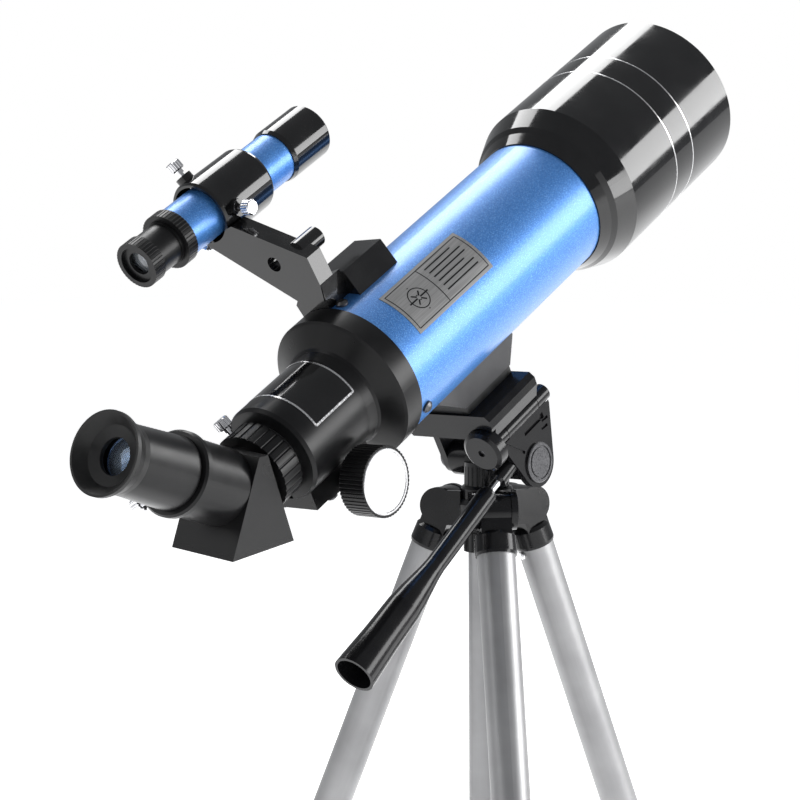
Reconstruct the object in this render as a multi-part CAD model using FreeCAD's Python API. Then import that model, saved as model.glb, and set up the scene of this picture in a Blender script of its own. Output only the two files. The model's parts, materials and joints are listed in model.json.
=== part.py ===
import FreeCAD, Part
import math
import os

# Small refracting telescope on a tripod, in millimetres. +Z is up and the tube heads along +Y.
#
# Telescope pieces are drawn in the tube frame: x to the right, y forwards along the optical axis from
# the joint between tube and focuser, z square to the axis. on_mount() tips them to the stored tilt.
# Tripod pieces are drawn about the tripod's upright axis, with z = 0 at the height of the tilt pivot.
# At the end everything is moved so that the origin is under the middle of the whole object.

# ---- driving dimensions ----------------------------------------------------------------------
TILT = 28.95                # stored elevation of the tube, degrees
PIVOT_Y = 7.8               # tilt pivot, ahead of the tripod's axis
PIVOT_S = 77.9              # tilt pivot in the tube frame
PIVOT_H = -102.6

TUBE_R = 40.0
TUBE_WALL = 1.0
TUBE_LENGTH = 180.6
CELL_R = 41.0
SHIELD_R = 51.4
SHIELD_BORE = 49.0
CELL_SEAT_R = 47.6            # step of the front cell that carries the dew shield
BORE_START = 215.0            # where the open bore of the dew shield begins
SHIELD_REAR = 205.3
SHIELD_FRONT = 316.3

BARREL_R = 27.0             # focuser barrel
BARREL_REAR = -74.0
DRAW_R = 18.0               # drawtube
DRAW_FRONT = 24.0
DRAW_REAR = -79.5
FOCUS_TRAVEL = 60.0
PINION_S = -47.0
PINION_H = -30.5
PITCH_R = 6.0               # pinion, 12 teeth of module 1
PINION_TEETH = 12
KNOB_R = 18.15
KNOB_RECESS_R = 17.0
KNOB_IN = 27.0
KNOB_OUT = 42.3

NOSE_R = 15.87              # 1.25 inch fittings
SOCKET_R = 15.93
CORNER_S = -105.0           # where the optical axis turns in the diagonal
DIAGONAL_ROLL = 7.0         # stored turn of the diagonal about the axis
WEDGE_FACE = 10.85          # corner to each port face
WEDGE_HALF = 19.6
WEDGE_TOP = 8.4             # blunt top edge, from the meeting line of the two port faces
WEDGE_BOTTOM = 59.9
WEDGE_WALL = 2.0
EYE_SCREW_L = 40.0          # clamp screw of the eyepiece, along its axis

FINDER_X = -66.0
FINDER_H = 95.3
FINDER_R = 14.0
SCREW_S = 8.5               # finder screws, along the axis

HINGE_R = 24.9              # leg hinge, out from the tripod's axis
HINGE_Z = -25.5
LEAN = 22.05                # spread of each leg
LEG_REACH = 388.1           # hinge to the tip of the foot, legs closed up
LEG_AZIMUTHS = (-43.85, 76.15, -163.85)
KNUCKLE_R = 10.4
KNUCKLE_HALF = 8.4
SLEEVE_END = -25.4          # lower end of the leg cap, from the hinge
LEG_R = 10.5
LOWER_R = 8.5
COLUMN_R = 10.3
COLUMN_TOP = -21.0
COLUMN_BOTTOM = -281.0

FLIP_X = 26.0               # portrait hinge in the tube frame
FLIP_H = -73.5
PLATE_TOP = -53.5
PLATE_REAR = 47.0
PLATE_FRONT = 93.0
HANDLE_X = 25.0
HANDLE_SLOPE = 36.3         # handle's fall towards its end, degrees
HANDLE_LINE_Z = 8.5         # height of the handle's axis where it crosses above the tripod's axis
ROD_START = 22.0            # distances down the handle, from that crossing
GRIP_START = 38.0
GRIP_END = 176.0

X = FreeCAD.Vector(1, 0, 0)
Y = FreeCAD.Vector(0, 1, 0)
Z = FreeCAD.Vector(0, 0, 1)
ORIGIN = FreeCAD.Vector(0, 0, 0)

nodes = {}


# ---- drawing helpers -------------------------------------------------------------------------
def vec(x, y, z):
    return FreeCAD.Vector(x, y, z)


def fused(shapes):
    whole = shapes[0].multiFuse(shapes[1:])
    return whole.removeSplitter()


def rod(radius, start, end):
    """Round bar between two points."""
    along = end - start
    return Part.makeCylinder(radius, along.Length, start, along)


def pipe(outer, inner, start, end):
    along = (end - start).normalize()
    return rod(outer, start, end).cut(rod(inner, start - along, end + along))


def box(low, high):
    size = [high[i] - low[i] for i in range(3)]
    return Part.makeBox(size[0], size[1], size[2], vec(*low))


def turned(profile, at=ORIGIN, direction=Z):
    """Solid of revolution from (distance along the axis, radius) points; the profile is closed."""
    points = [vec(r, 0, a) for a, r in profile]
    face = Part.Face(Part.makePolygon(points + points[:1]))
    solid = face.revolve(ORIGIN, Z, 360)
    solid.Placement = FreeCAD.Placement(at, FreeCAD.Rotation(Z, direction))
    return solid


def prism(points, along):
    """Flat outline pushed along a vector."""
    return Part.Face(Part.makePolygon(points + points[:1])).extrude(along)


def spun(shape, centre, axis, angle):
    copy = shape.copy()
    copy.rotate(centre, axis, angle)
    return copy


def moved(shape, offset):
    copy = shape.copy()
    copy.translate(offset)
    return copy


def ring_of(shape, count, centre, axis):
    return [spun(shape, centre, axis, 360.0 * k / count) for k in range(count)]


def fluted(outer, inner, length, start, direction, count, depth):
    """Round grip with evenly spaced grooves along it."""
    body = turned([(0, inner), (0, outer), (length, outer), (length, inner)])
    groove = Part.makeCylinder(depth, length, vec(outer + 0.25 * depth, 0, 0), Z)
    body = body.cut(Part.makeCompound(ring_of(groove, count, ORIGIN, Z)))
    body.Placement = FreeCAD.Placement(start, FreeCAD.Rotation(Z, direction))
    return body


# ---- frames ------------------------------------------------------------------------------------
def on_mount(shape):
    """Tube frame to tripod frame at the stored tilt."""
    copy = moved(shape, vec(0, -PIVOT_S, -PIVOT_H))
    copy.rotate(ORIGIN, X, TILT)
    return moved(copy, vec(0, PIVOT_Y, 0))


def point_on_mount(s, h, x=0.0):
    t = math.radians(TILT)
    ds, dh = s - PIVOT_S, h - PIVOT_H
    return vec(x, PIVOT_Y + ds * math.cos(t) - dh * math.sin(t), ds * math.sin(t) + dh * math.cos(t))


def direction_on_mount(x, s, h):
    t = math.radians(TILT)
    return vec(x, s * math.cos(t) - h * math.sin(t), s * math.sin(t) + h * math.cos(t))


def in_diagonal(s, v, side=0.0):
    """Point of the diagonal: s along the tube, v up its own middle plane, side across it."""
    a = math.radians(DIAGONAL_ROLL)
    return vec(side * math.cos(a) + v * math.sin(a), s, v * math.cos(a) - side * math.sin(a))


def axis_eye():
    """Direction of the eyepiece, 45 degrees up from the tube's backward direction."""
    half = math.sqrt(0.5)
    return in_diagonal(-half, half)


def eye_point(distance):
    return in_diagonal(CORNER_S, 0) + axis_eye() * distance


def leg_frame(shape, azimuth):
    """Leg drawn hanging down from its hinge at the origin, moved to its place on the crown."""
    copy = spun(shape, ORIGIN, Y, -LEAN)
    copy.translate(vec(HINGE_R, 0, HINGE_Z))
    copy.rotate(ORIGIN, Z, azimuth)
    return copy


# ---- telescope tube ------------------------------------------------------------------------------
def telescope_tube():
    inner = TUBE_R - TUBE_WALL
    nodes["main_tube"] = on_mount(pipe(TUBE_R, inner, ORIGIN, Y * TUBE_LENGTH))

    sleeve = inner - 0.05
    cell = turned([(166, sleeve - 2), (166, sleeve), (TUBE_LENGTH, sleeve), (TUBE_LENGTH, 40.8), (187, 44.2),
                   (190, 46.5), (203, SHIELD_R), (SHIELD_REAR, SHIELD_R), (SHIELD_REAR, CELL_SEAT_R),
                   (212, CELL_SEAT_R), (212, 37), (206, 37), (206, 34), (203, 34), (203, sleeve - 2)],
                  ORIGIN, Y)
    nodes["front_cell"] = on_mount(cell)

    seat = CELL_SEAT_R + 0.05
    shield = turned([(SHIELD_REAR, seat), (SHIELD_REAR, SHIELD_R), (SHIELD_FRONT - 0.8, SHIELD_R),
                     (SHIELD_FRONT, SHIELD_R - 0.8), (SHIELD_FRONT, SHIELD_BORE), (BORE_START, SHIELD_BORE),
                     (BORE_START, seat)], ORIGIN, Y)
    nodes["dew_shield"] = on_mount(shield)

    lens_r = 36.9
    crown_back = Part.makeSphere(180, vec(0, 212.5 - 180, 0)).common(rod(lens_r, Y * 206, Y * 214))
    flint = rod(lens_r, Y * 206, Y * 207.8)
    nodes["objective_lenses"] = on_mount(Part.makeCompound([crown_back.cut(rod(50, Y * 200, Y * 207.8)), flint]))
    ring = turned([(209.2, 34.4), (209.2, 36.9), (213, 36.9), (213, 39.5), (214.5, 39.5), (214.5, 34.4)],
                  ORIGIN, Y)
    ring = ring.cut(Part.makeSphere(180.05, vec(0, 212.5 - 180, 0)))
    ring = ring.cut(turned([(212 - 2, 36.9), (212, 36.9), (212, 60), (210, 60)], ORIGIN, Y))
    nodes["lens_ring"] = on_mount(ring)


def mounting_foot():
    """Cast foot strapped under the tube, with the threaded hole for the tripod's screw."""
    upper = [vec(-20, 31, -30), vec(20, 31, -30), vec(20, 103, -30), vec(-20, 103, -30)]
    side = [vec(-20, 31, -30), vec(-20, 31, -36), vec(-20, 48.5, -49.5), vec(-20, 93, -49.5),
            vec(-20, 103, -36), vec(-20, 103, -30)]
    foot = prism(side, vec(upper[1].x - upper[0].x, 0, 0))
    foot = foot.cut(rod(TUBE_R + 0.02, ORIGIN, Y * 150))
    foot = foot.cut(rod(3.2, vec(0, 72, -60), vec(0, 72, -38)))
    nodes["mounting_foot"] = on_mount(foot)


def small_screws():
    """Black pan-head screws of the telescope body: tube end, foot, bracket and pinion cover."""
    solids = []
    head = turned([(0, 0), (0, 3.3), (1.2, 3.3), (2.4, 1.8), (2.4, 0)])
    shank = rod(1.4, vec(0, 0, -3.5), vec(0, 0, 0))
    screw = fused([head, shank])
    for angle in (4.6, 120.0, -115.4):
        one = moved(screw, vec(0, 6, TUBE_R + 0.02))
        solids.append(spun(one, ORIGIN, Y, angle))
    for x in (-9.5, 9.5):
        down = spun(screw, ORIGIN, X, 180)
        for s in (-55.0, -39.0):
            solids.append(moved(down, vec(x, s, -35.55)))
    nodes["body_screws"] = on_mount(Part.makeCompound(solids))


# ---- focuser ---------------------------------------------------------------------------------------
def focuser():
    inner = TUBE_R - TUBE_WALL - 0.05
    body = turned([(14, inner - 3), (14, inner), (0, inner), (0, CELL_R), (-12.7, CELL_R), (-13.6, 39.6),
                   (-19.5, 29), (-21, BARREL_R + 1), (-27, BARREL_R), (BARREL_REAR + 2, BARREL_R),
                   (BARREL_REAR, BARREL_R - 1.2), (BARREL_REAR, DRAW_R + 0.05), (-60, DRAW_R + 0.05),
                   (-60, 21.5), (-34, 21.5), (-34, DRAW_R + 0.05), (-20, DRAW_R + 0.05), (-18, 24),
                   (-10, 36), (0, inner - 3)], ORIGIN, Y)
    housing = box((-15, -72, -33), (15, -24, -14))
    housing = housing.cut(rod(22, Y * -80, Y * -10))
    body = fused([body, housing])
    body = body.cut(box((-3.6, -80, -26.2), (3.6, 20, -10)))
    body = body.cut(rod(7.6, vec(-5, PINION_S, PINION_H), vec(5, PINION_S, PINION_H)))
    body = body.cut(box((-5, PINION_S - 7.6, -40), (5, PINION_S + 7.6, PINION_H)))
    body = body.cut(rod(2.05, vec(-20, PINION_S, PINION_H), vec(20, PINION_S, PINION_H)))
    for angle in (4.6, 120.0, -115.4):
        hole = rod(1.5, vec(0, 6, 34), vec(0, 6, 41))
        body = body.cut(spun(hole, ORIGIN, Y, angle))
        nodes["main_tube"] = nodes["main_tube"].cut(on_mount(spun(hole, ORIGIN, Y, angle)))
    for x in (-9.5, 9.5):
        for s in (-55.0, -39.0):
            body = body.cut(rod(1.5, vec(x, s, -34), vec(x, s, -31.9)))
    nodes["focuser_body"] = on_mount(body)

    cover = box((-13, -60, -35.5), (13, -34, -33))
    pocket = rod(9.2, vec(-6, PINION_S, PINION_H), vec(6, PINION_S, PINION_H))
    pocket = pocket.common(box((-10, -60, -45), (10, -34, -33)))
    cover = fused([cover, pocket])
    cover = cover.cut(rod(7.6, vec(-5, PINION_S, PINION_H), vec(5, PINION_S, PINION_H)))
    for x in (-9.5, 9.5):
        for s in (-55.0, -39.0):
            cover = cover.cut(rod(1.5, vec(x, s, -36), vec(x, s, -32)))
    nodes["pinion_cover"] = on_mount(cover)


def pinion_and_knobs():
    centre = vec(0, PINION_S, PINION_H)
    shaft = rod(2.0, centre - X * 36, centre + X * 36)
    root = rod(PITCH_R - 1.2, centre - X * 4.5, centre + X * 4.5)
    tooth = prism([vec(-4.5, 0.82, 4.4), vec(-4.5, 0.32, 6.75), vec(-4.5, -0.32, 6.75), vec(-4.5, -0.82, 4.4)],
                  vec(9, 0, 0))
    half_step = 180.0 / PINION_TEETH
    teeth = [moved(spun(tooth, ORIGIN, X, half_step + 2 * half_step * k), centre) for k in range(PINION_TEETH)]
    nodes["pinion_shaft"] = on_mount(fused([shaft, root] + teeth))
    for name, side in (("focus_knob_right", 1), ("focus_knob_left", -1)):
        face = centre + X * side * KNOB_IN
        grip = fluted(KNOB_R, 2.02, KNOB_OUT - KNOB_IN, face, X * side, 52, 0.55)
        recess = rod(KNOB_RECESS_R, centre + X * side * (KNOB_OUT - 1), centre + X * side * (KNOB_OUT + 1))
        bore_end = rod(3.0, centre + X * side * 36, centre + X * side * (KNOB_OUT - 1))
        grip = fused([grip, bore_end]).cut(recess)
        grip = fused([grip, pipe(5.0, 2.02, centre + X * side * 16, face)])
        nodes[name] = on_mount(grip.cut(shaft))


def drawtube():
    tube = pipe(DRAW_R, 16.5, Y * DRAW_REAR, Y * DRAW_FRONT)
    bar = box((-3, DRAW_REAR + 6, -22.9), (3, DRAW_FRONT - 4, -17))
    bar = bar.cut(rod(17.2, Y * -90, Y * 40))
    pitch = 2 * math.pi * PITCH_R / PINION_TEETH
    line = PINION_H + PITCH_R
    tooth = prism([vec(-3, 0.86, -22.8), vec(-3, 0.30, line - 0.75), vec(-3, -0.30, line - 0.75),
                   vec(-3, -0.86, -22.8)], vec(6, 0, 0))
    first = int((DRAW_REAR + 8 - PINION_S) / pitch)
    last = int((DRAW_FRONT - 6 - PINION_S) / pitch)
    teeth = [moved(tooth, vec(0, PINION_S + pitch * k, 0)) for k in range(first, last + 1)]
    nodes["drawtube"] = on_mount(fused([tube, bar] + teeth))

    nut = fluted(21.5, SOCKET_R, 13.0, Y * -77, Y * -1, 30, 0.8)
    nut = nut.cut(rod(DRAW_R, Y * DRAW_REAR, Y * -70))
    hole = spun(rod(1.6, vec(0, -84, 14), vec(0, -84, 24)), ORIGIN, Y, -28)
    nodes["drawtube_nut"] = on_mount(nut.cut(hole))


def thumbscrew(length):
    """Chrome thumbscrew along +Z: its tip at z = 0."""
    shank = rod(1.5, ORIGIN, Z * length)
    neck = rod(2.3, Z * (length - 0.5), Z * (length + 1.5))
    head = turned([(length + 1.5, 0), (length + 1.5, 3.4), (length + 2.2, 4.2), (length + 6.3, 4.2),
                   (length + 7, 3.4), (length + 7, 0)])
    knurl = Part.makeCylinder(0.5, 8, vec(4.4, 0, length + 1), Z)
    head = head.cut(Part.makeCompound(ring_of(knurl, 18, ORIGIN, Z)))
    return fused([shank, neck, head])


def place_screw(length, tip, direction):
    screw = thumbscrew(length)
    screw.Placement = FreeCAD.Placement(tip, FreeCAD.Rotation(Z, direction))
    return screw


# ---- diagonal and eyepiece -------------------------------------------------------------------------
def wedge_outline(inset, lift):
    """Side view of the diagonal's housing, drawn in a little on every side."""
    half = math.sqrt(0.5)
    apex_s = CORNER_S + WEDGE_FACE
    apex_v = WEDGE_FACE / (math.sqrt(2) - 1)
    front_s = apex_s - inset
    apex_v -= inset / (math.sqrt(2) - 1)
    top = WEDGE_TOP
    bottom = WEDGE_BOTTOM - lift
    return [(front_s, apex_v - top), (front_s, apex_v - bottom),
            (front_s - half * bottom, apex_v - half * bottom), (front_s - half * top, apex_v - half * top)]


def wedge_solid(inset, lift, half_width):
    points = [in_diagonal(s, v, -half_width) for s, v in wedge_outline(inset, lift)]
    across = in_diagonal(0, 0, 2 * half_width)
    return prism(points, across)


def diagonal():
    plate = 2.5
    shell = wedge_solid(0, plate, WEDGE_HALF)
    shell = shell.cut(wedge_solid(WEDGE_WALL, plate - 12, WEDGE_HALF - WEDGE_WALL))
    front = CORNER_S + WEDGE_FACE
    shell = shell.cut(rod(14.4, Y * (front - 5), Y * (front + 5)))
    shell = shell.cut(rod(14.4, eye_point(WEDGE_FACE - 5), eye_point(WEDGE_FACE + 5)))
    whole = wedge_solid(0, 0, WEDGE_HALF)
    base = whole.cut(wedge_solid(0, plate - 0.02, WEDGE_HALF))
    nodes["diagonal_cover"] = on_mount(base)

    glass = wedge_solid(WEDGE_WALL + 0.3, plate + 8, WEDGE_HALF - WEDGE_WALL - 1.2)
    nodes["diagonal_prism"] = on_mount(glass)

    nose = pipe(NOSE_R, 14.4, Y * front, Y * (front + 27))
    holder = turned([(WEDGE_FACE, SOCKET_R), (WEDGE_FACE, 19.4), (42, 19.4), (43, 21.2), (45.8, 21.2),
                     (47, 20.2), (47, SOCKET_R)], in_diagonal(CORNER_S, 0), axis_eye())
    side = eyepiece_screw_direction()
    boss = rod(4.2, eye_point(EYE_SCREW_L) + side * 17, eye_point(EYE_SCREW_L) + side * 21.5)
    hole = rod(1.6, eye_point(EYE_SCREW_L) + side * 14, eye_point(EYE_SCREW_L) + side * 24)
    boss = boss.cut(rod(SOCKET_R, eye_point(30), eye_point(50)))
    nodes["diagonal_housing"] = on_mount(fused([shell, nose, holder, boss]).cut(hole))


def eyepiece_screw_direction():
    """Square to the eyepiece, on its left and lower side."""
    across = in_diagonal(0, 0, 1.0)
    third = axis_eye().cross(across)
    return across * math.cos(math.radians(220)) + third * math.sin(math.radians(220))


def eyepiece():
    start = in_diagonal(CORNER_S, 0)
    body = turned([(24, 14.4), (24, NOSE_R), (47.05, NOSE_R), (47.05, 17.6), (48, 18.2), (84, 17.0), (84, 14.2),
                   (81, 14.2), (81, 10.95), (74, 10.95), (74, 9.5), (66, 9.5), (66, 14.4)], start, axis_eye())
    nodes["eyepiece_body"] = on_mount(body)
    cup = turned([(84.05, 14.3), (84.05, 17.4), (88, 18.0), (94, 20.4), (96.2, 20.4), (96.2, 19.2),
                  (90.5, 14.5), (88.5, 9.0), (86.0, 9.0), (86.0, 14.3)], start, axis_eye())
    nodes["eyecup"] = on_mount(cup)
    eye_lens = Part.makeSphere(30, eye_point(83 - 30)).common(rod(10.9, eye_point(76), eye_point(84)))
    eye_lens = eye_lens.cut(rod(20, eye_point(60), eye_point(78)))
    field_lens = rod(14.3, eye_point(59), eye_point(64))
    nodes["eyepiece_lenses"] = on_mount(Part.makeCompound([eye_lens, field_lens]))


# ---- finder ------------------------------------------------------------------------------------------
def finder_axis(s):
    return vec(FINDER_X, s, FINDER_H)


def finder_screw_direction(k):
    angle = math.radians(120.0 * k)
    return vec(math.cos(angle), 0, math.sin(angle))


def finder_bracket():
    ring = turned([(0, 16.2), (0, 17.6), (1.5, 18.4), (39, 18.06), (40.5, 17.4), (40.5, 14.06), (36, 14.06),
                   (34.5, 16.2)], finder_axis(0), Y)
    bosses = [rod(4.6, finder_axis(SCREW_S) + finder_screw_direction(k) * 16.6,
                  finder_axis(SCREW_S) + finder_screw_direction(k) * 21.5) for k in range(3)]
    arm = prism([vec(-72, 0, 79.3), vec(-47, 0, 88.7), vec(-43.4, 0, 87.3), vec(-2.6, 0, 70.4),
                 vec(-0.7, 0, 54.7), vec(-2, 0, 45), vec(-18.5, 0, 43.5)], vec(0, 11, 0))
    post = rod(5.6, vec(-13.5, 5, 70.8), vec(-13.5, 22, 70.8))
    shoe_front = prism([vec(8.2, 16.7, 37), vec(1.4, 16.7, 53.2), vec(-17, 16.7, 52), vec(-23, 16.7, 42),
                        vec(-20, 16.7, 30)], vec(0, 33.8, 0))
    shoe_rear = prism([vec(-0.7, 0.4, 38), vec(-0.7, 0.4, 54.7), vec(-17, 0.4, 50), vec(-23, 0.4, 42),
                       vec(-20, 0.4, 32)], vec(0, 16.3, 0))
    bracket = fused([ring, arm, post, shoe_front, shoe_rear] + bosses)
    bracket = bracket.cut(rod(16.2, finder_axis(-5), finder_axis(34.5)))
    bracket = bracket.cut(rod(TUBE_R + 0.02, Y * -10, Y * 100))
    slot = rod(4.2, vec(-27, -1, 66.5), vec(-27, 12, 66.5))
    bracket = bracket.cut(slot)
    for k in range(3):
        side = finder_screw_direction(k)
        bracket = bracket.cut(rod(1.55, finder_axis(SCREW_S) + side * 13, finder_axis(SCREW_S) + side * 24))
    nodes["finder_bracket"] = on_mount(bracket)
    for k in range(3):
        side = finder_screw_direction(k)
        screw = place_screw(9.5, finder_axis(SCREW_S) + side * (FINDER_R + 0.05), side)
        nodes["finder_screw_%d" % (k + 1)] = on_mount(screw)


def finder():
    nodes["finder_tube"] = on_mount(pipe(FINDER_R, FINDER_R - 1, finder_axis(-21), finder_axis(70)))
    hood = turned([(63.5, FINDER_R + 0.02), (63.5, 14.6), (66, 15.4), (94.4, 15.37), (95.4, 14.6), (95.4, 13.6),
                   (70.05, 13.6), (70.05, FINDER_R + 0.02)], finder_axis(0), Y)
    nodes["finder_hood"] = on_mount(hood)
    nodes["finder_objective"] = on_mount(rod(13.55, finder_axis(71), finder_axis(74)))
    ring = fluted(15.2, 12.3, 7.0, finder_axis(-21.05), Y * -1, 48, 0.4)
    nodes["finder_focus_ring"] = on_mount(ring)
    barrel = turned([(-12, 9.8), (-12, 12.25), (-30, 12.25), (-30, 11.6), (-44, 11.6), (-44, 9.8)],
                    finder_axis(0), Y)
    grip = fluted(12.6, 9.8, 8.0, finder_axis(-44), Y * -1, 44, 0.35)
    lip = pipe(9.8, 6.2, finder_axis(-50), finder_axis(-48))
    nodes["finder_eyepiece"] = on_mount(fused([barrel, grip, lip]))


# ---- tripod head -------------------------------------------------------------------------------------
def pan_body():
    drum = fluted(12.6, 4.05, 11.0, vec(0, 0, -13.8), Z, 24, 0.7)
    deck = pipe(12.6, 4.05, vec(0, 0, -3.2), vec(0, 0, -1))
    hub = rod(10.5, vec(-25.6, PIVOT_Y, 0), vec(25.6, PIVOT_Y, 0))
    web = box((-10, -7, -4), (10, 14, 2))
    body = fused([drum, deck, hub, web])
    body = body.cut(rod(4.05, vec(-30, PIVOT_Y, 0), vec(30, PIVOT_Y, 0)))
    body = body.cut(rod(4.05, vec(0, 0, -20), vec(0, 0, -6)))
    nodes["pan_body"] = body


def cheek(side, radius, rear_s, front_s):
    """Side plate of the tilting frame, rounded about the pivot, with a flat top edge."""
    x = side * 26.0
    outline = [vec(x, rear_s, -79), vec(x, front_s, -79)]
    top = Part.makePolygon([outline[0], vec(x, rear_s, -71.5), vec(x, front_s, -71.5), outline[1]])
    centre = vec(x, PIVOT_S, PIVOT_H)
    front = tangent_point(outline[1], centre, radius, 1)
    rear = tangent_point(outline[0], centre, radius, -1)
    arc = Part.Arc(front, centre - Z * radius, rear).toShape()
    edges = top.Edges + [Part.LineSegment(outline[1], front).toShape(), arc,
                         Part.LineSegment(rear, outline[0]).toShape()]
    face = Part.Face(Part.Wire(Part.__sortEdges__(edges)))
    return face.extrude(vec(side * 4.1, 0, 0))


def cheek_marks():
    """Sunk details on the outer face of the right cheek: two short slots, a long recess and a groove."""
    outer = 30.1
    marks = []
    for start, end, width, depth in (((91.2, -84.2), (97.0, -84.8), 1.6, 1.0),
                                     ((89.0, -88.1), (94.8, -88.7), 1.6, 1.0),
                                     ((74.5, -81.7), (94.0, -81.8), 3.4, 1.2),
                                     ((57.0, -77.4), (70.0, -91.2), 1.6, 0.9)):
        length = math.hypot(end[0] - start[0], end[1] - start[1])
        over_s = -(end[1] - start[1]) / length * width / 2
        over_h = (end[0] - start[0]) / length * width / 2
        corners = [vec(outer - depth, s + sign * over_s, h + sign * over_h)
                   for (s, h), sign in ((start, 1), (end, 1), (end, -1), (start, -1))]
        marks.append(prism(corners, vec(depth + 1, 0, 0)))
    return Part.makeCompound(marks)


def tangent_point(corner, centre, radius, sign):
    """Where a line from a corner touches a circle about the pivot."""
    ds, dh = corner.y - centre.y, corner.z - centre.z
    reach = math.hypot(ds, dh)
    base = math.atan2(dh, ds)
    swing = math.acos(radius / reach)
    angle = base - sign * swing
    return vec(corner.x, centre.y + radius * math.cos(angle), centre.z + radius * math.sin(angle))


def tilt_frame():
    deck = box((-30.1, 60, -74), (20, 98, -70))
    right = cheek(1, 14.0, 55, 102)
    left = cheek(-1, 9.0, 68, 96)
    barrel = rod(5.0, vec(FLIP_X, 62, FLIP_H), vec(FLIP_X, 92, FLIP_H))
    link = box((16, 62, -75), (FLIP_X, 92, -70.5))
    socket = rod(4.6, handle_on_mount(ROD_START - 8), handle_on_mount(ROD_START + 6))
    frame = fused([deck, left, barrel, link])
    frame = frame.fuse(right.cut(rod(5.3, vec(FLIP_X, 50, FLIP_H), vec(FLIP_X, 62, FLIP_H))))
    gap = [rod(5.4, vec(FLIP_X, a, FLIP_H), vec(FLIP_X, b, FLIP_H)) for a, b in ((50, 62), (92, 105))]
    frame = frame.cut(Part.makeCompound(gap))
    frame = frame.fuse(socket)
    frame = frame.cut(rod(11.0, vec(-25.8, PIVOT_S, PIVOT_H), vec(25.8, PIVOT_S, PIVOT_H)))
    frame = frame.cut(rod(4.05, vec(-40, PIVOT_S, PIVOT_H), vec(40, PIVOT_S, PIVOT_H)))
    frame = frame.cut(rod(2.05, vec(FLIP_X, 50, FLIP_H), vec(FLIP_X, 110, FLIP_H)))
    frame = frame.cut(rod(2.55, handle_on_mount(ROD_START - 5), handle_on_mount(ROD_START + 10)))
    frame = frame.cut(cheek_marks())
    nodes["tilt_frame"] = on_mount(frame.removeSplitter())

    bolt = rod(4.0, vec(-33, PIVOT_S, PIVOT_H), vec(30.2, PIVOT_S, PIVOT_H))
    cap = turned([(30.15, 0), (30.15, 11.3), (31.2, 11.3), (31.6, 10.8), (31.6, 9.4), (31.0, 9.2), (31.0, 8.4),
                  (31.6, 8.2), (31.6, 0)], vec(0, PIVOT_S, PIVOT_H), X)
    nut = rod(6.5, vec(-34, PIVOT_S, PIVOT_H), vec(-30.15, PIVOT_S, PIVOT_H))
    flip_pin = rod(2.0, vec(FLIP_X, 43, FLIP_H), vec(FLIP_X, 104.5, FLIP_H))
    nodes["head_pins"] = on_mount(Part.makeCompound([fused([bolt, cap, nut]), flip_pin]))


def platform():
    """Upper plate that tips sideways about the portrait hinge."""
    top = PLATE_TOP
    outline = [vec(-25, PLATE_REAR, top), vec(31.5, PLATE_REAR, top), vec(34, PLATE_REAR, top - 3),
               vec(34, PLATE_REAR, -61), vec(31, PLATE_REAR, -68.6), vec(-23, PLATE_REAR, -68.6),
               vec(-28, PLATE_REAR, -61), vec(-28, PLATE_REAR, top - 2)]
    plate = prism(outline, vec(0, PLATE_FRONT - PLATE_REAR, 0))
    hollow = box((-22, 56, -70), (12, 88, -61.5))
    plate = plate.cut(hollow)
    plate = plate.cut(rod(12.5, vec(FLIP_X, 40, FLIP_H), vec(FLIP_X, 51.1, FLIP_H)))
    lugs = []
    for a, b in ((52, 61.6), (92.4, 104)):
        ear = rod(5.0, vec(FLIP_X, a, FLIP_H), vec(FLIP_X, b, FLIP_H))
        stem = box((FLIP_X - 4, min(a, PLATE_FRONT - 9), FLIP_H), (FLIP_X + 3.3, min(b, PLATE_FRONT), -66))
        lugs += [ear, stem]
    plate = fused([plate] + lugs)
    room = rod(5.4, vec(FLIP_X, 61.6, FLIP_H), vec(FLIP_X, 92.4, FLIP_H))
    plate = plate.cut(room)
    plate = plate.cut(rod(2.05, vec(FLIP_X, 45, FLIP_H), vec(FLIP_X, 110, FLIP_H)))
    plate = plate.cut(rod(3.3, vec(0, 72, -75), vec(0, 72, -50)))
    nodes["platform"] = on_mount(plate)
    pad = box((-20, 49, PLATE_TOP + 0.02), (20, 92, -49.52)).cut(rod(3.3, vec(0, 72, -60), vec(0, 72, -40)))
    nodes["platform_pad"] = on_mount(pad)
    screw = fused([rod(3.15, vec(0, 72, -66), vec(0, 72, -40)), rod(11, vec(0, 72, -68), vec(0, 72, -62))])
    nodes["platform_screw"] = on_mount(screw)
    knob = turned([(0, 2.02), (0, 10.4), (1.4, 12.0), (7.6, 12.0), (9.0, 10.0), (9.0, 2.02)],
                  vec(FLIP_X, 50.6, FLIP_H), Y * -1)
    nodes["flip_knob"] = on_mount(knob)


def handle_point(distance):
    """Point on the handle's axis, in the tripod frame."""
    a = math.radians(HANDLE_SLOPE)
    return vec(HANDLE_X, -distance * math.cos(a), HANDLE_LINE_Z - distance * math.sin(a))


def handle_on_mount(distance):
    """The same point written in the tube frame."""
    p = handle_point(distance) - vec(0, PIVOT_Y, 0)
    t = math.radians(TILT)
    return vec(p.x, PIVOT_S + p.y * math.cos(t) + p.z * math.sin(t),
               PIVOT_H - p.y * math.sin(t) + p.z * math.cos(t))


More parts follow.
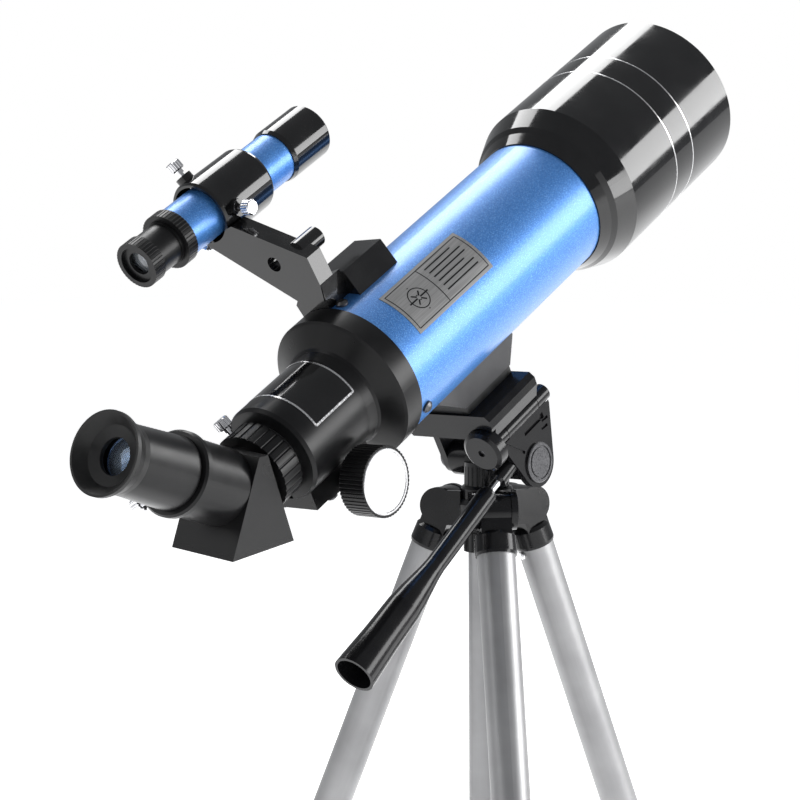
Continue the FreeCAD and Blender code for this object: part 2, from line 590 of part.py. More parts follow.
def handle():
    down = handle_point(1) - handle_point(0)
    nodes["handle_rod"] = rod(2.5, handle_point(ROD_START - 4), handle_point(GRIP_START + 39))
    profile = [(GRIP_START, 2.52), (GRIP_START, 4.9), (GRIP_START + 2, 5.5), (95, 5.5), (101, 6.0), (118, 8.4),
               (128, 9.4), (150, 10.0), (171, 11.2), (GRIP_END, 11.4), (GRIP_END, 9.8), (150, 8.4), (128, 7.6),
               (GRIP_START + 39, 4.0), (GRIP_START + 39, 2.52)]
    nodes["handle_grip"] = turned(profile, handle_point(0), down)


# ---- centre column -----------------------------------------------------------------------------------
def column():
    nodes["centre_column"] = pipe(COLUMN_R, COLUMN_R - 1, Z * COLUMN_BOTTOM, Z * (COLUMN_TOP - 0.02))
    head_plug = turned([(-45, 0), (-45, COLUMN_R - 1.02), (COLUMN_TOP, COLUMN_R - 1.02), (COLUMN_TOP, 14.5),
                        (-15.5, 14.5), (-14.1, 13.6), (-14.1, 4.0), (-6.5, 4.0), (-6.5, 0)])
    low = COLUMN_BOTTOM
    end_plug = turned([(low - 3, 0), (low - 3, 9.0), (low - 2, COLUMN_R), (low - 0.02, COLUMN_R),
                       (low - 0.02, COLUMN_R - 1.02), (low + 10, COLUMN_R - 1.02), (low + 10, 0)])
    nodes["column_plugs"] = Part.makeCompound([head_plug, end_plug])


# ---- crown and legs ----------------------------------------------------------------------------------
def crown():
    hub = turned([(COLUMN_TOP - 0.05, COLUMN_R + 0.05), (COLUMN_TOP - 0.05, 15), (-24, 17), (-37.6, 16),
                  (-37.6, 11.3), (-48.6, 11.3), (-48.6, COLUMN_R + 0.05)])
    solids = [hub]
    pins = []
    for azimuth in LEG_AZIMUTHS:
        for side in (-1, 1):
            low_y = 8.7 if side > 0 else -12.2
            high_y = 12.2 if side > 0 else -8.7
            disc = rod(KNUCKLE_R, vec(HINGE_R, low_y, HINGE_Z), vec(HINGE_R, high_y, HINGE_Z))
            web = box((11, low_y, HINGE_Z - KNUCKLE_R), (HINGE_R, high_y, HINGE_Z + KNUCKLE_R - 1.5))
            for piece in (disc, web):
                solids.append(spun(piece, ORIGIN, Z, azimuth))
        pin = rod(3.0, vec(HINGE_R, -11.5, HINGE_Z), vec(HINGE_R, 11.5, HINGE_Z))
        pins.append(spun(pin, ORIGIN, Z, azimuth))
    body = fused(solids)
    for azimuth in LEG_AZIMUTHS:
        room = rod(KNUCKLE_R + 0.1, vec(HINGE_R, -8.7, HINGE_Z), vec(HINGE_R, 8.7, HINGE_Z))
        neck_room = box((HINGE_R - 8.4, -8.7, -60), (60, 8.7, HINGE_Z))
        sleeve_room = rod(12.0, vec(HINGE_R, 0, -60), vec(HINGE_R, 0, HINGE_Z - 12.6))
        for piece in (room, neck_room, sleeve_room):
            body = body.cut(spun(piece, ORIGIN, Z, azimuth))
    body = body.cut(rod(COLUMN_R + 0.05, Z * -60, Z * -10))
    body = body.cut(rod(15.2, Z * (COLUMN_TOP - 0.05), Z * -10))
    body = body.cut(Part.makeCompound([pin.copy() for pin in pins]))
    nodes["crown"] = body
    nodes["leg_pins"] = Part.makeCompound(pins)
    ring = fluted(12.9, 11.4, 10.7, vec(0, 0, -50.6), Z, 24, 0.6)
    lip = pipe(11.4, COLUMN_R + 0.3, vec(0, 0, -50.6), vec(0, 0, -48.9))
    nodes["column_lock_ring"] = fused([ring, lip])


def leg(number, azimuth):
    name = "leg_%d_" % number
    knuckle = rod(KNUCKLE_R - 0.4, vec(0, -KNUCKLE_HALF, 0), vec(0, KNUCKLE_HALF, 0))
    neck = box((-8, -KNUCKLE_HALF, -15), (8, KNUCKLE_HALF, 0))
    sleeve = turned([(SLEEVE_END, LEG_R + 0.03), (SLEEVE_END, 11.3), (SLEEVE_END + 1.5, 11.7),
                     (-15, 11.4), (-13.0, 10.0), (-13.0, 0),
                     (-14.6, 0), (-14.6, LEG_R + 0.03)])
    cap = fused([knuckle, neck.cut(rod(LEG_R + 0.03, Z * -40, Z * -14.6)), sleeve])
    cap = cap.cut(rod(3.05, vec(0, -20, 0), vec(0, 20, 0)))
    nodes[name + "cap"] = leg_frame(cap, azimuth)
    upper_end = -345.0
    nodes[name + "upper_tube"] = leg_frame(pipe(LEG_R, LEG_R - 1.0, Z * upper_end, Z * -14.7), azimuth)
    lock = fluted(13.0, LEG_R + 0.06, 24.0, Z * (upper_end - 8), Z, 26, 0.7)
    lip = pipe(12.0, LOWER_R + 0.06, Z * (upper_end - 8), Z * (upper_end - 0.5))
    nodes[name + "lock_ring"] = leg_frame(fused([lock, lip]), azimuth)
    nodes[name + "lower_tube"] = leg_frame(pipe(LOWER_R, LOWER_R - 1.0, Z * -371, Z * -50), azimuth)
    pad_r = 10.5
    foot = turned([(-355, LOWER_R + 0.02), (-355, 9.6), (-359, pad_r), (-377, pad_r), (-377, 0), (-371.1, 0),
                   (-371.1, LOWER_R + 0.02)])
    ball = Part.makeSphere(pad_r, Z * -(LEG_REACH - pad_r))
    ball = ball.common(box((-20, -20, -LEG_REACH - 5), (20, 20, -377)))
    foot = leg_frame(fused([foot, ball]), azimuth)
    ground = HINGE_Z - (LEG_REACH - pad_r) * math.cos(math.radians(LEAN)) - pad_r + 0.8
    foot = foot.cut(box((-400, -400, ground - 50), (400, 400, ground)))
    nodes[name + "foot"] = foot


# ---- the whole object --------------------------------------------------------------------------------
def build():
    telescope_tube()
    mounting_foot()
    focuser()
    small_screws()
    pinion_and_knobs()
    drawtube()
    nut_side = spun(rod(1, ORIGIN, Z), ORIGIN, Y, -28).CenterOfMass.normalize()
    nodes["diagonal_screw"] = on_mount(place_screw(7.5, vec(0, -84, 0) + nut_side * (NOSE_R + 0.05), nut_side))
    diagonal()
    side = eyepiece_screw_direction()
    nodes["eyepiece_screw"] = on_mount(place_screw(8, eye_point(EYE_SCREW_L) + side * (NOSE_R + 0.05), side))
    eyepiece()
    finder_bracket()
    finder()
    pan_body()
    tilt_frame()
    platform()
    handle()
    column()
    crown()
    for number, azimuth in enumerate(LEG_AZIMUTHS, start=1):
        leg(number, azimuth)


def floor_shift():
    """Offset that puts the origin under the middle of the whole object."""
    whole = Part.makeCompound(list(nodes.values()))
    bounds = whole.BoundBox
    lowest = min(vertex.Z for vertex in nodes["leg_1_foot"].Vertexes)
    return vec(-(bounds.XMin + bounds.XMax) / 2, -(bounds.YMin + bounds.YMax) / 2, -lowest)


build()
shift = floor_shift()
os.makedirs("parts", exist_ok=True)
for node_name, shape in nodes.items():
    shape.translate(shift)
    shape.exportStep("parts/%s.step" % node_name)
print(len(nodes), "nodes, shifted by", shift)
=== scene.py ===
import bpy
import bmesh
import json
import math
from mathutils import Matrix, Vector


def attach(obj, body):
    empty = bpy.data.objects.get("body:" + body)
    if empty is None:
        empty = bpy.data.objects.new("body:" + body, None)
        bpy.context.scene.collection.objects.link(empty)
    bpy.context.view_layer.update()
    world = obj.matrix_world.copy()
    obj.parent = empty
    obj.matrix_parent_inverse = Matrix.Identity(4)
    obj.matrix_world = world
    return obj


# Small refracting telescope on a tripod, dressed for the studio. Lengths are in metres.
# The telescope's own frame has x to the right, s along the optical axis and h square to both; its origin
# is the joint between tube and focuser, found from the focus joint and the portrait hinge.

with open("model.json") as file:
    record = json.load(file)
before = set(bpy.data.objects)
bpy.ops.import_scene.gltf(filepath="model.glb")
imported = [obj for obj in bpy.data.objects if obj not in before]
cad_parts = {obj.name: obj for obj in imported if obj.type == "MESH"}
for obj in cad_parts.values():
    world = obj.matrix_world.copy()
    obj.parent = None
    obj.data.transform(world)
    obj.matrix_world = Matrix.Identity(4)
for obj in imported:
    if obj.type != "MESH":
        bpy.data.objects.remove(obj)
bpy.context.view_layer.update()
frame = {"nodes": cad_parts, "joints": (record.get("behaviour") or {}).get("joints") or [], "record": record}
nodes = frame["nodes"]
joints = {joint["name"]: joint for joint in frame["joints"]}

MM = 0.001
PINION_S = -47.0 * MM          # the focus shaft in the telescope's frame
PINION_H = -30.5 * MM
TUBE_R = 40.0 * MM
BARREL_R = 27.0 * MM
SHIELD_R = 51.4 * MM
KNOB_FACE = 41.3 * MM          # floor of the recess in each focus knob
KNOB_RECESS_R = 17.0 * MM

AXIS = Vector(joints["portrait_flip"]["axis"]).normalized()
RIGHT = Vector((1, 0, 0))
UP = RIGHT.cross(AXIS)
PINION = Vector(joints["focus"]["pos_m"])
ORIGIN = PINION - AXIS * PINION_S - UP * PINION_H


def in_tube(x, s, h):
    return ORIGIN + RIGHT * x + AXIS * s + UP * h


def around(radius, s, degrees):
    """Point beside the optical axis, the angle counted from the top towards the right."""
    turn = math.radians(degrees)
    return in_tube(radius * math.sin(turn), s, radius * math.cos(turn))


# ---- camera --------------------------------------------------------------------------------------
CAMERA_AZIMUTH = 39.919
CAMERA_ELEVATION = 4.297
CAMERA_ROLL = -0.289
CAMERA_LENS = 102.58           # millimetres, on a sensor 36 mm wide
CAMERA_OFFSET = Vector((0.77151, -1.00462, 0.12821))   # from the tilt pivot


def camera():
    azimuth, elevation, roll = [math.radians(a) for a in (CAMERA_AZIMUTH, CAMERA_ELEVATION, CAMERA_ROLL)]
    right = Vector((math.cos(azimuth), math.sin(azimuth), 0))
    back = Vector((math.sin(azimuth) * math.cos(elevation), -math.cos(azimuth) * math.cos(elevation),
                   math.sin(elevation)))
    up = back.cross(right)
    right, up = right * math.cos(roll) + up * math.sin(roll), up * math.cos(roll) - right * math.sin(roll)
    lens = bpy.data.cameras.new("camera")
    lens.lens = CAMERA_LENS
    lens.sensor_width = 36
    eye = bpy.data.objects.new("camera", lens)
    turn = Matrix((right, up, back)).transposed().to_4x4()
    eye.matrix_world = Matrix.Translation(Vector(joints["head_tilt"]["pos_m"]) + CAMERA_OFFSET) @ turn
    bpy.context.scene.collection.objects.link(eye)
    bpy.context.scene.camera = eye


camera()


# ---- materials ----------------------------------------------------------------------------------------
def shader(name, colour, roughness, metallic=0.0, coat=0.0, coat_roughness=0.05, specular=0.5):
    material = bpy.data.materials.new(name)
    material.use_nodes = True
    tree = material.node_tree
    surface = tree.nodes["Principled BSDF"]
    surface.inputs["Base Color"].default_value = (*colour, 1)
    surface.inputs["Roughness"].default_value = roughness
    surface.inputs["Metallic"].default_value = metallic
    surface.inputs["Coat Weight"].default_value = coat
    surface.inputs["Coat Roughness"].default_value = coat_roughness
    surface.inputs["Specular IOR Level"].default_value = specular
    return material, tree, surface


def object_place(tree):
    return tree.nodes.new("ShaderNodeTexCoord").outputs["Object"]


def noise(tree, place, scale, detail=4.0, rough=0.55):
    node = tree.nodes.new("ShaderNodeTexNoise")
    node.inputs["Scale"].default_value = scale
    node.inputs["Detail"].default_value = detail
    node.inputs["Roughness"].default_value = rough
    tree.links.new(place, node.inputs["Vector"])
    return node.outputs["Fac"]


def speckle(tree, place, scale):
    """A random value for each small cell."""
    node = tree.nodes.new("ShaderNodeTexVoronoi")
    node.inputs["Scale"].default_value = scale
    tree.links.new(place, node.inputs["Vector"])
    split = tree.nodes.new("ShaderNodeSeparateColor")
    tree.links.new(node.outputs["Color"], split.inputs["Color"])
    return split.outputs["Red"]


def spread(tree, value, low, high, start=0.3, end=0.7):
    node = tree.nodes.new("ShaderNodeMapRange")
    node.inputs["From Min"].default_value = start
    node.inputs["From Max"].default_value = end
    node.inputs["To Min"].default_value = low
    node.inputs["To Max"].default_value = high
    tree.links.new(value, node.inputs["Value"])
    return node.outputs["Result"]


def blend_colours(tree, value, stops):
    node = tree.nodes.new("ShaderNodeValToRGB")
    ramp = node.color_ramp
    while len(ramp.elements) < len(stops):
        ramp.elements.new(0.5)
    for element, (place, colour) in zip(ramp.elements, stops):
        element.position = place
        element.color = (*colour, 1)
    tree.links.new(value, node.inputs["Fac"])
    return node.outputs["Color"]


def bump(tree, surface, height, strength, depth):
    node = tree.nodes.new("ShaderNodeBump")
    node.inputs["Strength"].default_value = strength
    node.inputs["Distance"].default_value = depth
    tree.links.new(height, node.inputs["Height"])
    tree.links.new(node.outputs["Normal"], surface.inputs["Normal"])
    return node


def stretched(tree, axis, along, across):
    """Coordinates drawn out along an axis, for brushed and drawn metal."""
    place = object_place(tree)
    side = axis.cross(Vector((0.3, 0.2, 0.9))).normalized()
    third = axis.cross(side)
    joined = tree.nodes.new("ShaderNodeCombineXYZ")
    for slot_name, direction, scale in (("X", axis, along), ("Y", side, across), ("Z", third, across)):
        dot = tree.nodes.new("ShaderNodeVectorMath")
        dot.operation = "DOT_PRODUCT"
        dot.inputs[1].default_value = direction * scale
        tree.links.new(place, dot.inputs[0])
        tree.links.new(dot.outputs["Value"], joined.inputs[slot_name])
    return joined.outputs["Vector"]


def link(tree, output, surface, name):
    tree.links.new(output, surface.inputs[name])


def blue_metal():
    """Metallic blue lacquer: fine flakes under a clear coat."""
    material, tree, surface = shader("blue_metal", (0.05, 0.22, 0.55), 0.45, metallic=0.5, coat=0.4,
                                     coat_roughness=0.22)
    place = object_place(tree)
    flakes = speckle(tree, place, 4200.0)
    colour = blend_colours(tree, flakes, [(0.0, (0.032, 0.130, 0.38)), (0.5, (0.045, 0.180, 0.50)),
                                          (0.88, (0.06, 0.24, 0.62)), (1.0, (0.22, 0.48, 0.86))])
    link(tree, colour, surface, "Base Color")
    link(tree, spread(tree, flakes, 0.38, 0.50, 0.0, 1.0), surface, "Roughness")
    bump(tree, surface, flakes, 0.18, 0.00002)
    return material


def gloss_black():
    """Polished black plastic with a faint unevenness in the gloss."""
    material, tree, surface = shader("gloss_black", (0.004, 0.004, 0.005), 0.08, coat=0.25,
                                     coat_roughness=0.03, specular=0.35)
    place = object_place(tree)
    wipe = noise(tree, place, 55.0, 3.0)
    link(tree, spread(tree, wipe, 0.06, 0.15), surface, "Roughness")
    tint = blend_colours(tree, wipe, [(0.3, (0.003, 0.003, 0.0035)), (0.7, (0.006, 0.006, 0.0065))])
    link(tree, tint, surface, "Base Color")
    bump(tree, surface, noise(tree, place, 240.0, 2.0), 0.03, 0.0002)
    return material


def satin_black():
    """Satin black plastic with fine moulding grain."""
    material, tree, surface = shader("satin_black", (0.005, 0.005, 0.006), 0.34, specular=0.22)
    place = object_place(tree)
    grain = noise(tree, place, 1500.0, 3.0)
    patch = noise(tree, place, 45.0, 3.0)
    link(tree, blend_colours(tree, patch, [(0.3, (0.004, 0.004, 0.0045)), (0.7, (0.008, 0.008, 0.0085))]),
         surface, "Base Color")
    link(tree, spread(tree, patch, 0.27, 0.36), surface, "Roughness")
    bump(tree, surface, grain, 0.12, 0.00008)
    return material


def head_plastic():
    """Moulded plastic of the tripod head: dark, with a soft sheen and an eggshell grain."""
    material, tree, surface = shader("head_plastic", (0.006, 0.006, 0.007), 0.30, specular=0.26)
    place = object_place(tree)
    grain = noise(tree, place, 900.0, 4.0)
    patch = noise(tree, place, 60.0, 3.0)
    link(tree, blend_colours(tree, patch, [(0.3, (0.004, 0.004, 0.005)), (0.7, (0.009, 0.009, 0.0095))]),
         surface, "Base Color")
    link(tree, spread(tree, grain, 0.15, 0.23), surface, "Roughness")
    bump(tree, surface, grain, 0.04, 0.0001)
    return material


def grey_casting():
    """Dark grey lacquer over a die casting, for the cheeks and the foot."""
    material, tree, surface = shader("grey_casting", (0.04, 0.04, 0.042), 0.34, metallic=0.2, specular=0.35)
    place = object_place(tree)
    grain = noise(tree, place, 1100.0, 4.0)
    patch = noise(tree, place, 40.0, 3.0)
    link(tree, blend_colours(tree, patch, [(0.3, (0.030, 0.030, 0.032)), (0.7, (0.050, 0.050, 0.052))]),
         surface, "Base Color")
    link(tree, spread(tree, grain, 0.32, 0.45), surface, "Roughness")
    bump(tree, surface, grain, 0.15, 0.0001)
    return material


def drawn_aluminium(name, axis):
    """Satin anodised tube with faint drawing lines along it."""
    material, tree, surface = shader(name, (0.24, 0.24, 0.245), 0.40, metallic=0.7, specular=0.3)
    lines = noise(tree, stretched(tree, axis, 18.0, 1400.0), 1.0, 3.0)
    cloud = noise(tree, object_place(tree), 35.0, 3.0)
    link(tree, blend_colours(tree, cloud, [(0.3, (0.27, 0.27, 0.275)), (0.7, (0.33, 0.33, 0.335))]),
         surface, "Base Color")
    link(tree, spread(tree, lines, 0.36, 0.48), surface, "Roughness")
    bump(tree, surface, lines, 0.10, 0.00005)
    return material


def bright_metal(name, colour, roughness):
    """Plated metal with hairline polish marks."""
    material, tree, surface = shader(name, colour, roughness, metallic=1.0)
    place = object_place(tree)
    marks = noise(tree, place, 900.0, 5.0, 0.7)
    link(tree, spread(tree, marks, roughness * 0.6, roughness * 1.7), surface, "Roughness")
    shade = tuple(part * 0.88 for part in colour)
    link(tree, blend_colours(tree, noise(tree, place, 120.0), [(0.3, shade), (0.7, colour)]),
         surface, "Base Color")
    bump(tree, surface, marks, 0.04, 0.00005)
    return material


def soft_rubber():
    """Matt black rubber with faint dusty patches spread at random."""
    material, tree, surface = shader("soft_rubber", (0.01, 0.01, 0.01), 0.45, specular=0.3)
    place = object_place(tree)
    dust = noise(tree, place, 180.0, 5.0)
    link(tree, blend_colours(tree, dust, [(0.35, (0.006, 0.006, 0.006)), (0.75, (0.014, 0.014, 0.0145))]),
         surface, "Base Color")
    link(tree, spread(tree, dust, 0.36, 0.52), surface, "Roughness")
    bump(tree, surface, noise(tree, place, 1200.0), 0.2, 0.0001)
    return material


def coated_glass(name, tint):
    """Lens glass with a coating that tints its reflection."""
    material, tree, surface = shader(name, (0.9, 0.95, 1.0), 0.03)
    surface.inputs["Transmission Weight"].default_value = 0.9
    surface.inputs["IOR"].default_value = 1.52
    surface.inputs["Specular Tint"].default_value = (*tint, 1)
    surface.inputs["Coat Weight"].default_value = 0.4
    surface.inputs["Coat Tint"].default_value = (*tint, 1)
    smear = noise(tree, object_place(tree), 90.0, 3.0)
    link(tree, spread(tree, smear, 0.01, 0.05), surface, "Roughness")
    return material


def knob_white():
    """Bright white inlay with a faint mottling."""
    material, tree, surface = shader("knob_white", (0.88, 0.88, 0.88), 0.3)
    cloud = noise(tree, object_place(tree), 130.0, 3.0)
    link(tree, blend_colours(tree, cloud, [(0.3, (0.84, 0.84, 0.84)), (0.7, (0.92, 0.92, 0.92))]),
         surface, "Base Color")
    link(tree, spread(tree, cloud, 0.25, 0.36), surface, "Roughness")
    return material


def label_silver():
    """Brushed silver-grey foil of the plate on the tube."""
    material, tree, surface = shader("label_silver", (0.20, 0.20, 0.20), 0.42, metallic=0.25)
    lines = noise(tree, stretched(tree, AXIS, 30.0, 2200.0), 1.0, 3.0)
    link(tree, blend_colours(tree, lines, [(0.3, (0.17, 0.17, 0.17)), (0.7, (0.27, 0.27, 0.27))]),
         surface, "Base Color")
    link(tree, spread(tree, lines, 0.30, 0.44), surface, "Roughness")
    return material


BLUE = blue_metal()
GLOSS = gloss_black()
SATIN = satin_black()
PLASTIC = head_plastic()
CASTING = grey_casting()
CHROME = bright_metal("bright_chrome", (0.78, 0.78, 0.80), 0.10)
SILVER = bright_metal("silver_trim", (0.70, 0.70, 0.71), 0.22)
STEEL = bright_metal("dark_steel", (0.10, 0.10, 0.105), 0.30)
DULL = bright_metal("dull_tube", (0.30, 0.31, 0.32), 0.35)
RUBBER = soft_rubber()
GLASS = coated_glass("optical_glass", (0.55, 0.75, 1.0))
LENS = coated_glass("eye_lens_glass", (0.96, 0.97, 1.0))
WHITE = knob_white()
PLATE = label_silver()

SLOT_LOOKS = {"blue_metal": BLUE, "gloss_black": GLOSS, "satin_black": SATIN, "head_plastic": PLASTIC,
              "grey_casting": CASTING, "bright_chrome": CHROME, "dark_steel": STEEL, "dull_tube": DULL,
              "optical_glass": GLASS, "soft_rubber": RUBBER}


def dress_nodes():
    """Every CAD piece takes the look of its slot; the silver tubes get lines along their own axes."""
    tubes = {"centre_column": Vector((0, 0, 1))}
    for number in (1, 2, 3):
        along = Vector(joints["leg_%d_extend" % number]["axis"])
        tubes["leg_%d_upper_tube" % number] = along
        tubes["leg_%d_lower_tube" % number] = along
    for entry in frame["record"]["subparts"]:
        name = entry["node"]
        if name in tubes:
            look = drawn_aluminium("drawn_" + name, tubes[name])
        else:
            look = SLOT_LOOKS[entry["material_slot"]]
        mesh = nodes[name].data
        mesh.materials.clear()
        mesh.materials.append(look)


dress_nodes()


# ---- mesh helpers -----------------------------------------------------------------------------------
def piece(name, build, look, body, smooth=True):
    """New piece from a bmesh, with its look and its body."""
    shape = bmesh.new()
    build(shape)
    bmesh.ops.recalc_face_normals(shape, faces=shape.faces)
    mesh = bpy.data.meshes.new(name)
    shape.to_mesh(mesh)
    shape.free()
    mesh.materials.append(look)
    made = bpy.data.objects.new(name, mesh)
    bpy.context.scene.collection.objects.link(made)
    if smooth:
        mesh.shade_smooth()
        split = made.modifiers.new("edges", "EDGE_SPLIT")
        split.split_angle = math.radians(35)
    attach(made, body)
    return made


def revolve(shape, start, axis, profile, steps=96):
    """Closed ring or disc from (distance along the axis, radius) points."""
    side = axis.cross(Vector((0.31, 0.17, 0.93))).normalized()
    third = axis.cross(side)
    loops = []
    for along, radius in profile:
        centre = start + axis * along
        if radius == 0:
            loops.append([shape.verts.new(centre)])
            continue
        loop = []
        for k in range(steps):
            turn = 2 * math.pi * k / steps
            loop.append(shape.verts.new(centre + (side * math.cos(turn) + third * math.sin(turn)) * radius))
        loops.append(loop)
    closed = profile[0][1] != 0
    pairs = list(zip(loops, loops[1:])) + ([(loops[-1], loops[0])] if closed else [])
    for first, second in pairs:
        for k in range(steps):
            after = (k + 1) % steps
            if len(first) == 1:
                shape.faces.new((first[0], second[k], second[after]))
            elif len(second) == 1:
                shape.faces.new((first[k], second[0], first[after]))
            else:
                shape.faces.new((first[k], second[k], second[after], first[after]))


def ribbon(shape, line, half_width, inner, outer):
    """Raised line on a cylinder about the optical axis; line is a list of (s, degrees) points."""
    rows = []
    for place, (s, angle) in enumerate(line):
        before = line[max(place - 1, 0)]
        after = line[min(place + 1, len(line) - 1)]
        ds = after[0] - before[0]
        da = math.radians(after[1] - before[1]) * outer
        length = math.hypot(ds, da)
        across_s = -da / length * half_width
        across_a = math.degrees(ds / length * half_width / outer)
        corners = []
        for sign, radius in ((-1, inner), (-1, outer), (1, outer), (1, inner)):
            corners.append(shape.verts.new(around(radius, s + sign * across_s, angle + sign * across_a)))
        rows.append(corners)
    for first, second in zip(rows, rows[1:]):
        for k in range(4):
            after = (k + 1) % 4
            shape.faces.new((first[k], first[after], second[after], second[k]))
    shape.faces.new(rows[0])
    shape.faces.new(rows[-1][::-1])


def patch(shape, s_span, a_span, inner, outer, steps=24):
    """Curved plate on a cylinder about the optical axis, closed all round."""
    rows = []
    for k in range(steps + 1):
        angle = a_span[0] + (a_span[1] - a_span[0]) * k / steps
        rows.append([shape.verts.new(around(radius, s, angle))
                     for radius, s in ((inner, s_span[0]), (outer, s_span[0]), (outer, s_span[1]),
                                       (inner, s_span[1]))])
    for first, second in zip(rows, rows[1:]):
        for k in range(4):
            after = (k + 1) % 4
            shape.faces.new((first[k], first[after], second[after], second[k]))
    shape.faces.new(rows[0])
    shape.faces.new(rows[-1][::-1])


def arc(s, a0, a1, steps=30):
    return [(s, a0 + (a1 - a0) * k / steps) for k in range(steps + 1)]


def straight(s0, s1, angle, steps=2):
    return [(s0 + (s1 - s0) * k / steps, angle) for k in range(steps + 1)]


# ---- focus knobs ------------------------------------------------------------------------------------
def knob_faces():
    """White inlay in a plated rim on the outer face of each knob."""
    for name, side in (("right", 1), ("left", -1)):
        out = RIGHT * side
        floor = PINION + out * KNOB_FACE
        disc_r = 15.4 * MM
        piece("knob_inlay_" + name,
              lambda shape: revolve(shape, floor, out, [(0.05 * MM, 0), (0.05 * MM, disc_r),
                                                        (0.7 * MM, disc_r), (0.85 * MM, disc_r - 0.3 * MM),
                                                        (0.95 * MM, 0)]),
              WHITE, "focus_pinion")
        rim_r = KNOB_RECESS_R - 0.05 * MM
        piece("knob_rim_" + name,
              lambda shape: revolve(shape, floor, out, [(0.05 * MM, disc_r + 0.02 * MM), (0.05 * MM, rim_r),
                                                        (0.9 * MM, rim_r), (1.25 * MM, rim_r - 0.35 * MM),
                                                        (1.25 * MM, disc_r + 0.3 * MM),
                                                        (0.9 * MM, disc_r + 0.02 * MM)]),
              SILVER, "focus_pinion")


# ---- plates and lines ---------------------------------------------------------------------------------
LABEL_S = (18.0 * MM, 87.0 * MM)
LABEL_ANGLES = (25.5, 66.5)
CIRCLE_R = 6.2 * MM            # ring round the star on the plate


def tube_label():
    """Plain silver-grey plate on the tube: borders and a compass star, no lettering."""
    skin = TUBE_R + 0.03 * MM
    face = TUBE_R + 0.22 * MM
    ink = face + 0.04 * MM
    piece("tube_plate", lambda shape: patch(shape, LABEL_S, LABEL_ANGLES, skin, face), PLATE,
          "telescope")
    s0, s1 = LABEL_S
    a0, a1 = LABEL_ANGLES
    edge_s = 2.2 * MM
    edge_a = math.degrees(edge_s / TUBE_R)
    divide = s0 + 30.0 * MM
    frames = [(s0 + edge_s, divide, a0 + edge_a, a1 - edge_a),
              (divide, s1 - edge_s, a0 + edge_a, a1 - edge_a)]

    def borders(shape):
        for low, high, first, last in frames:
            for s in (low, high):
                ribbon(shape, arc(s, first, last), 0.28 * MM, face - 0.05 * MM, ink)
            for angle in (first, last):
                ribbon(shape, straight(low, high, angle), 0.28 * MM, face - 0.05 * MM, ink)

    piece("tube_plate_lines", borders, SATIN, "telescope", smooth=False)
    middle_s = (s0 + edge_s + divide) / 2
    middle_a = (a0 + a1) / 2

    def star(shape):
        for k in range(8):
            turn = math.pi * k / 4
            reach = (8.0 if k % 2 == 0 else 4.5) * MM
            tip = (middle_s + reach * math.cos(turn),
                   middle_a + math.degrees(reach * math.sin(turn) / TUBE_R))
            start = (middle_s + 1.2 * MM * math.cos(turn),
                     middle_a + math.degrees(1.2 * MM * math.sin(turn) / TUBE_R))
            ribbon(shape, [start, tip], 0.45 * MM, face - 0.05 * MM, ink)
        circle = [(middle_s + CIRCLE_R * math.cos(t * math.pi / 24),
                   middle_a + math.degrees(CIRCLE_R * math.sin(t * math.pi / 24) / TUBE_R))
                  for t in range(49)]
        ribbon(shape, circle, 0.3 * MM, face - 0.05 * MM, ink)

    piece("tube_plate_star", star, SATIN, "telescope", smooth=False)

    def bars(shape):
        for k in range(6):
            angle = a0 + edge_a + 4.5 + k * 4.6
            end = s1 - edge_s - (4.0 if k % 3 else 9.0) * MM
            ribbon(shape, straight(divide + 4.0 * MM, end, angle), 0.42 * MM, face - 0.05 * MM, ink)

    piece("tube_plate_bars", bars, SATIN, "telescope", smooth=False)


def focuser_band():
    """Blank glossy band on the focuser barrel, framed in silver."""
    skin = BARREL_R + 0.02 * MM
    face = BARREL_R + 0.15 * MM
    line = face + 0.08 * MM
    spans = (-61.5 * MM, -28.5 * MM)
    angles = (-75.0, 66.5)
    piece("focuser_band", lambda shape: patch(shape, spans, angles, skin, face, 48), GLOSS,
          "telescope")

    def border(shape):
        for s in (spans[0] + 0.6 * MM, spans[1] - 0.6 * MM):
            ribbon(shape, arc(s, angles[0], angles[1], 48), 0.55 * MM, face - 0.05 * MM, line)
        for angle in angles:
            ribbon(shape, straight(spans[0] + 0.6 * MM, spans[1] - 0.6 * MM, angle), 0.55 * MM,
                   face - 0.05 * MM, line)

    piece("focuser_band_frame", border, SILVER, "telescope", smooth=False)


def shield_lines():
    """Two thin silver lines round the dew shield."""
    for number, s in ((1, 250.05 * MM), (2, 269.5 * MM)):
        start = ORIGIN + AXIS * s
        skin = SHIELD_R - 0.02 * MM
        proud = SHIELD_R + 0.06 * MM
        profile = [(-0.45 * MM, skin), (-0.35 * MM, proud), (0.35 * MM, proud), (0.45 * MM, skin)]
        piece("shield_line_%d" % number, lambda shape: revolve(shape, start, AXIS, profile, 160), SILVER,
              "telescope")


# ---- finder's eye lens ----------------------------------------------------------------------------------
def finder_lens():
    ocular = Vector(joints["finder_ocular_turn"]["pos_m"])
    back = Vector(joints["finder_ocular_turn"]["axis"]).normalized()
    start = ocular + back * 4.0 * MM
    profile = [(0, 0), (0, 9.6 * MM), (1.2 * MM, 9.6 * MM), (2.6 * MM, 6.0 * MM), (3.4 * MM, 2.5 * MM),
               (3.6 * MM, 0)]
    piece("finder_eye_lens", lambda shape: revolve(shape, start, back, profile, 64), LENS,
          "finder_ocular")


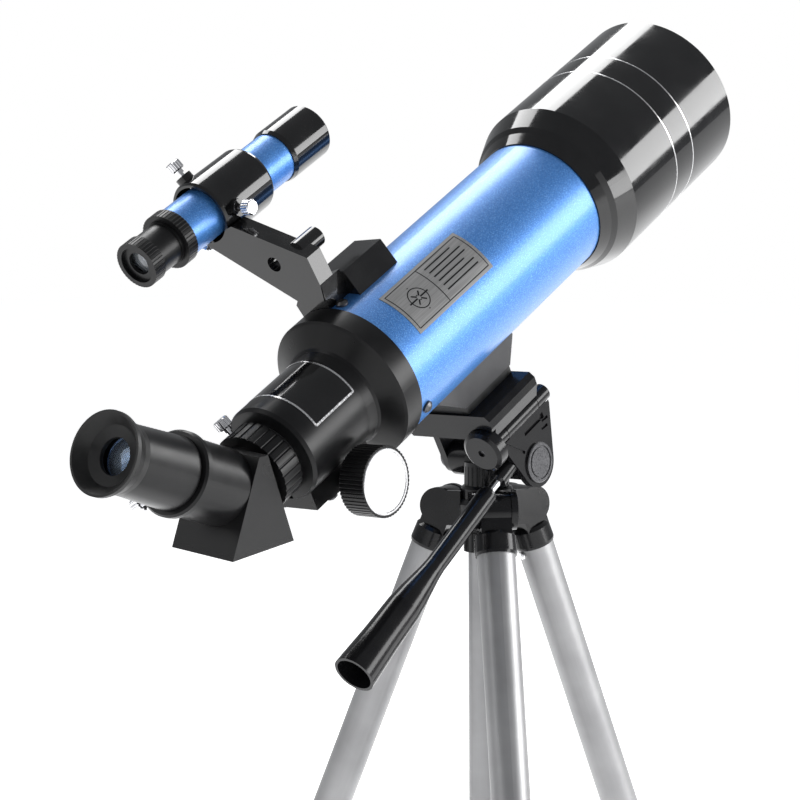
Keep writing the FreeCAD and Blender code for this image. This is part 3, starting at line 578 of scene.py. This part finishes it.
# ---- leg cap screws ------------------------------------------------------------------------------------
def leg_screws():
    """Small plated clamp screw under each leg cap, on the side that faces the column."""
    for number in (1, 2, 3):
        hinge = joints["leg_%d_fold" % number]
        pivot = Vector(hinge["pos_m"])
        tangent = Vector(hinge["axis"]).normalized()
        down = Vector(joints["leg_%d_extend" % number]["axis"]).normalized()
        inward = tangent.cross(down)
        if inward.dot(Vector((-pivot.x, -pivot.y, 0)) + Vector((frame_centre.x, frame_centre.y, 0))) < 0:
            inward = -inward
        seat = pivot + down * 28.5 * MM + inward * 10.45 * MM
        profile = [(0, 0), (0, 2.2 * MM), (0.5 * MM, 2.4 * MM), (1.2 * MM, 2.0 * MM), (1.6 * MM, 0.9 * MM),
                   (1.65 * MM, 0)]
        piece("leg_%d_screw" % number, lambda shape: revolve(shape, seat, inward, profile, 32), CHROME,
              "leg_%d" % number)


frame_centre = Vector(joints["head_pan"]["pos_m"])
knob_faces()
tube_label()
focuser_band()
shield_lines()
finder_lens()
leg_screws()


# ---- studio ---------------------------------------------------------------------------------------------
WORLD_STRENGTH = 0.33
FLOOR_GLOW = 0.72


def floor():
    size = 12.0
    mesh = bpy.data.meshes.new("floor")
    mesh.from_pydata([(-size, -size, 0), (size, -size, 0), (size, size, 0), (-size, size, 0)], [],
                     [(0, 1, 2, 3)])
    made = bpy.data.objects.new("floor", mesh)
    bpy.context.scene.collection.objects.link(made)
    material, _, surface = shader("floor_white", (0.88, 0.88, 0.88), 0.7)
    surface.inputs["Emission Color"].default_value = (1, 1, 1, 1)
    surface.inputs["Emission Strength"].default_value = FLOOR_GLOW
    mesh.materials.append(material)


def soft_light(name, direction, distance, width, height, power):
    """Soft box that faces the tube."""
    lamp = bpy.data.lights.new(name, "AREA")
    lamp.shape = "RECTANGLE"
    lamp.size = width
    lamp.size_y = height
    lamp.energy = power
    made = bpy.data.objects.new(name, lamp)
    target = in_tube(0, 0.1, 0)
    toward = Vector(direction).normalized()
    place = target + toward * distance
    tall = (AXIS - toward * AXIS.dot(toward)).normalized()
    across = tall.cross(toward)
    made.matrix_world = Matrix.Translation(place) @ Matrix((across, tall, toward)).transposed().to_4x4()
    bpy.context.scene.collection.objects.link(made)


def around_light(degrees):
    """Direction of a light whose reflection runs along the tube as the camera sees it."""
    turn = math.radians(degrees)
    return AXIS * 0.64 + (RIGHT * math.sin(turn) + UP * math.cos(turn)) * 0.77


def world_light():
    bpy.context.scene.view_settings.view_transform = "Standard"
    world = bpy.data.worlds.new("studio")
    bpy.context.scene.world = world
    world.use_nodes = True
    tree = world.node_tree
    seen = tree.nodes["Background"]
    seen.inputs["Color"].default_value = (1, 1, 1, 1)
    seen.inputs["Strength"].default_value = 1.0
    lighting = tree.nodes.new("ShaderNodeBackground")
    lighting.inputs["Color"].default_value = (0.95, 0.97, 1, 1)
    lighting.inputs["Strength"].default_value = WORLD_STRENGTH
    path = tree.nodes.new("ShaderNodeLightPath")
    mix = tree.nodes.new("ShaderNodeMixShader")
    tree.links.new(path.outputs["Is Camera Ray"], mix.inputs["Fac"])
    tree.links.new(lighting.outputs["Background"], mix.inputs[1])
    tree.links.new(seen.outputs["Background"], mix.inputs[2])
    tree.links.new(mix.outputs["Shader"], tree.nodes["World Output"].inputs["Surface"])


floor()
world_light()
soft_light("light_left", around_light(-42), 1.8, 0.75, 2.2, 42)
soft_light("light_right", around_light(100), 1.8, 0.7, 2.2, 42)
soft_light("light_front", (-0.45, -0.80, 0.40), 2.0, 0.9, 0.9, 6)
